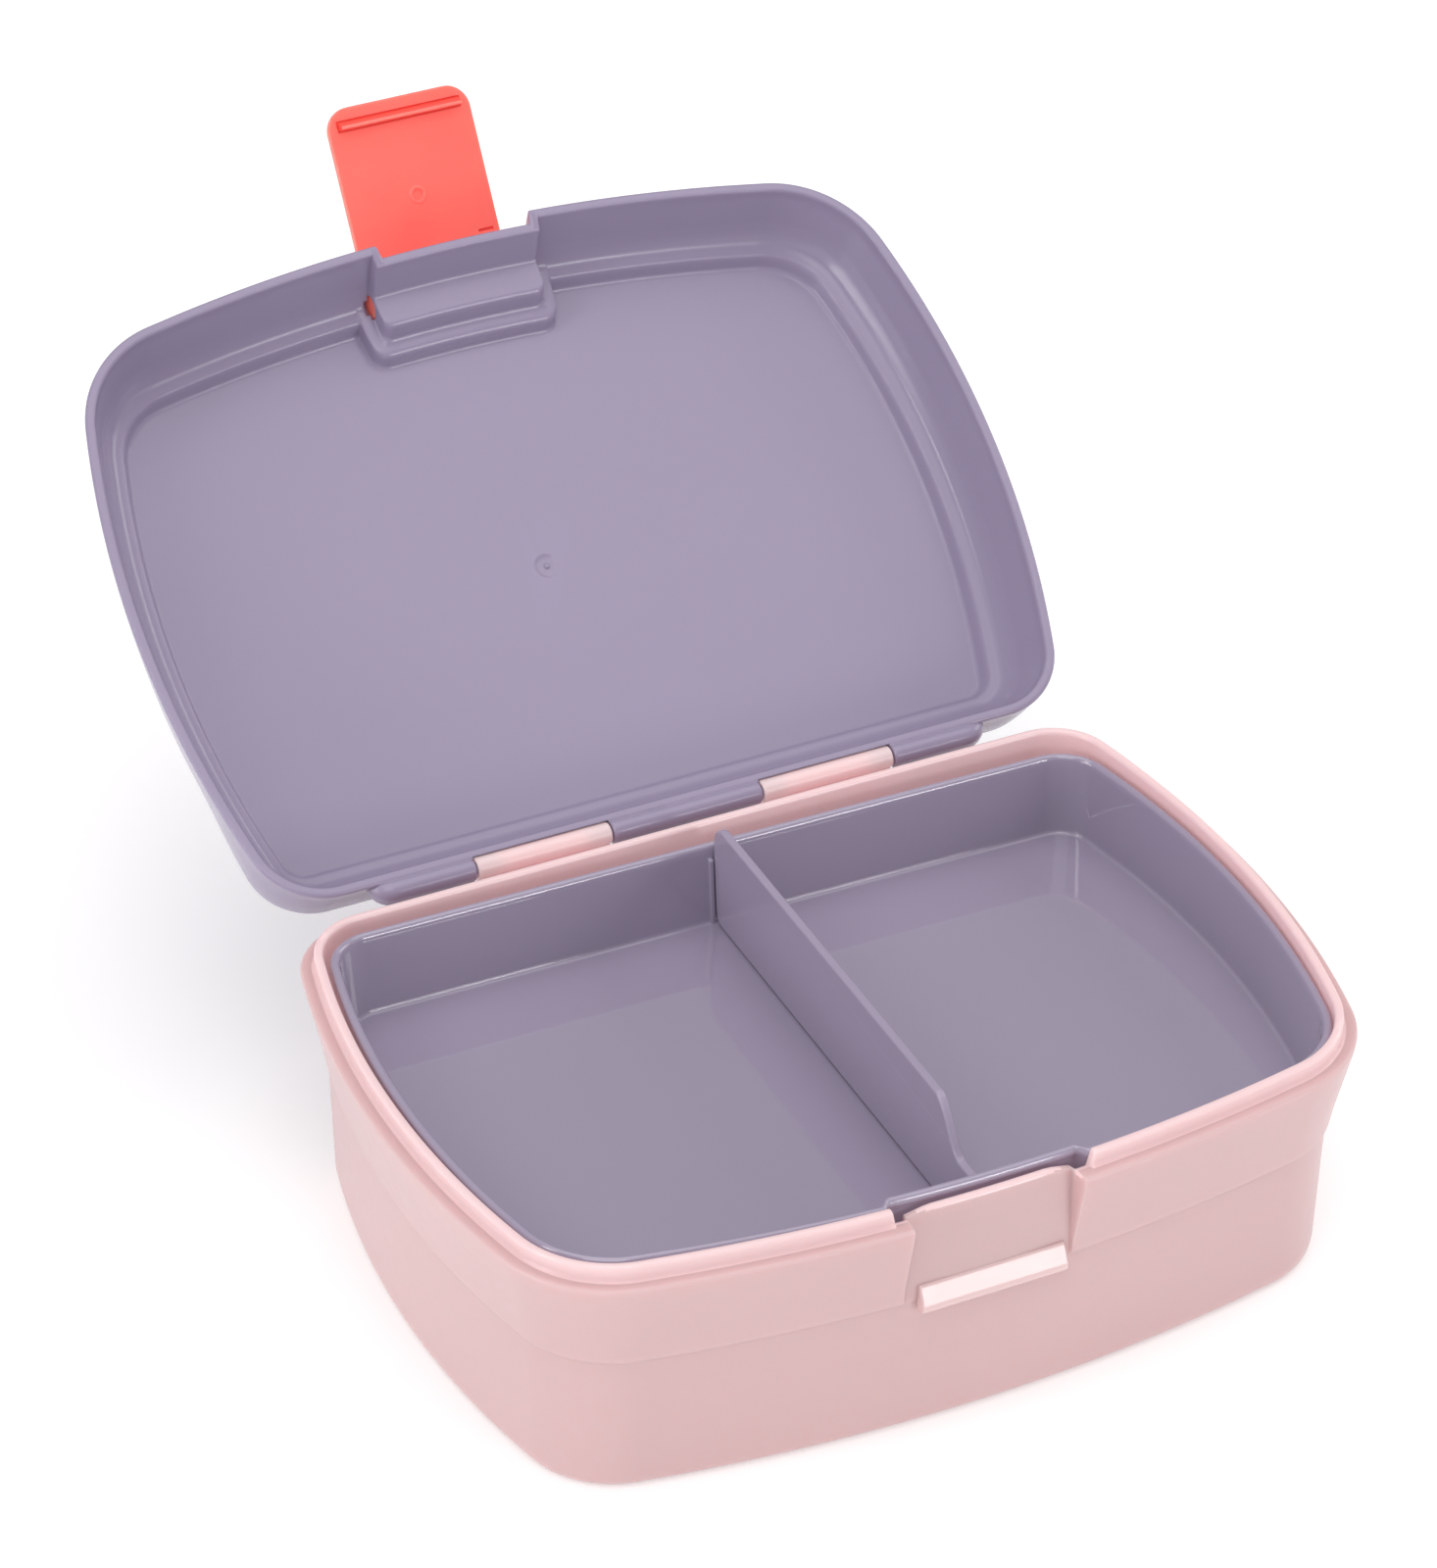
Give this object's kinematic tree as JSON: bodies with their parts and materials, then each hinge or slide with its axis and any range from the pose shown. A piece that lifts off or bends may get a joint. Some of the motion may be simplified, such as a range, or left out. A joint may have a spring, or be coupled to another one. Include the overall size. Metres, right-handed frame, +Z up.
{
  "type": "hinged lunch box",
  "caption": "Rectangular plastic lunch box with bowed sides: deep tub, hinged shell lid, flip latch on the lid, lift-out tray and removable divider.",
  "frame": {"origin": "centre of the tub's flat underside", "axes": "+X along the hinge, -Y towards the latch side, +Y towards the hinge, +Z up out of the tub"},
  "size_m": [0.17, 0.2485, 0.1308],
  "materials": {
    "tub_plastic": "pale pink polypropylene, satin outside and a little glossier inside",
    "lid_plastic": "lilac polypropylene, satin",
    "latch_plastic": "coral translucent plastic, semi-gloss",
    "tray_plastic": "lilac polypropylene, glossy floor"
  },
  "bodies": {
    "tub": {"tub": "tub_plastic"},
    "lid": {"lid": "lid_plastic"},
    "latch": {"latch": "latch_plastic"},
    "tray": {"tray": "tray_plastic"},
    "divider": {"divider": "tray_plastic"}
  },
  "joints": [
    {"name": "lid_hinge", "type": "hinge", "parent": "tub", "child": "lid", "pos_m": [0, 0.062, 0.0488], "axis": [1, 0, 0], "range_deg": [0, 146.7]},
    {"name": "latch_pivot", "type": "hinge", "parent": "lid", "child": "latch", "pos_m": [0, 0.16294, 0.10314], "axis": [1, 0, 0], "range_deg": [0, 66.4]},
    {"name": "tray_lift", "type": "slide", "parent": "tub", "child": "tray", "axis": [0, 0, 1], "range_m": [0, 0.06]},
    {"name": "divider_lift", "type": "slide", "parent": "tray", "child": "divider", "axis": [0, 0, 1], "range_m": [0, 0.06]}
  ]
}
